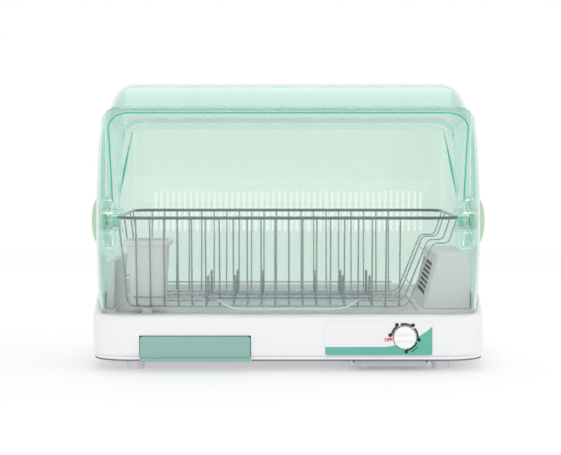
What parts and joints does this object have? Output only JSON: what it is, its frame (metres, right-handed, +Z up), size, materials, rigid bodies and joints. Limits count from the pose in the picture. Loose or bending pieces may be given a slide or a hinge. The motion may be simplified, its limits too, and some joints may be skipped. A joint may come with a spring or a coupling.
{
  "type": "dish drainer",
  "caption": "Covered electric dish dryer: base with timer, drip tray and air tower, clear hood and turning door, and a lift-out wire basket with plate racks and cutlery holder.",
  "frame": {"origin": "centre of the bounding box's bottom, on the plane the feet stand on", "axes": "+X to the right seen from the front, -Y towards the front, +Z up"},
  "size_m": [0.586, 0.4038, 0.403],
  "materials": {
    "white_plastic": "satin white moulding",
    "grey_plastic": "matte grey moulding",
    "clear_green": "clear green, glossy",
    "pale_green": "pale green, half matte",
    "tray_green": "milky green, glossy",
    "chrome": "chromed or polished wire",
    "holder_white": "matte white moulding",
    "rubber": "matte grey rubber",
    "black_plastic": "matte black moulding",
    "steel": "plain steel",
    "filter_grey": "grey mesh"
  },
  "bodies": {
    "base": {"base_housing": "white_plastic", "bottom_plate": "white_plastic", "foot_front_left": "rubber", "foot_front_right": "rubber", "foot_back_left": "rubber", "foot_back_right": "rubber", "base_screw_1": "steel", "base_screw_2": "steel", "base_screw_3": "steel", "base_screw_4": "steel", "drain_pan": "grey_plastic", "drain_spout": "grey_plastic", "left_guard": "white_plastic", "air_tower": "white_plastic", "outlet_grille": "white_plastic", "rear_hood": "clear_green", "pivot_cap_left": "pale_green", "pivot_cap_right": "pale_green", "pivot_clip_left": "pale_green", "pivot_clip_right": "pale_green", "control_plate": "white_plastic", "timer_body": "black_plastic", "blower_housing": "black_plastic", "blower_cover": "black_plastic", "fan_motor": "steel", "air_duct": "steel", "heater_coil": "steel", "heater_frame": "steel", "thermal_cutout": "black_plastic", "terminal_block": "black_plastic", "cord_gland": "black_plastic"},
    "door": {"front_door": "clear_green"},
    "basket": {"basket_rim": "chrome", "basket_front_wires": "chrome", "basket_back_wires": "chrome", "basket_left_wires": "chrome", "basket_right_wires": "chrome", "basket_floor_grid": "chrome", "plate_rack_front": "chrome", "plate_rack_back": "chrome"},
    "cutlery": {"cutlery_holder": "holder_white"},
    "tray": {"drip_tray": "tray_green"},
    "filter": {"filter_cover": "white_plastic", "filter_mesh": "filter_grey"},
    "knob": {"timer_knob": "white_plastic", "timer_shaft": "steel"},
    "fan": {"impeller": "black_plastic"}
  },
  "joints": [
    {"name": "door_hinge", "type": "hinge", "parent": "base", "child": "door", "pos_m": [0, 0.01915, 0.199], "axis": [-1, 0, 0], "range_deg": [0, 81]},
    {"name": "basket_lift", "type": "slide", "parent": "base", "child": "basket", "axis": [0, 0, 1], "range_m": [0, 0.06]},
    {"name": "cutlery_lift", "type": "slide", "parent": "basket", "child": "cutlery", "axis": [0, 0, 1], "range_m": [0, 0.1]},
    {"name": "tray_slide", "type": "slide", "parent": "base", "child": "tray", "axis": [0, -1, 0], "range_m": [0, 0.12]},
    {"name": "filter_slide", "type": "slide", "parent": "base", "child": "filter", "axis": [0, -1, 0], "range_m": [0, 0.065]},
    {"name": "timer_turn", "type": "hinge", "parent": "base", "child": "knob", "pos_m": [0.16, -0.18795, 0.0483], "axis": [0, 1, 0], "range_deg": [0, 263]},
    {"name": "fan_spin", "type": "hinge", "parent": "base", "child": "fan", "pos_m": [0.141, -0.08085, 0.044], "axis": [0, 0, 1], "continuous": true}
  ]
}
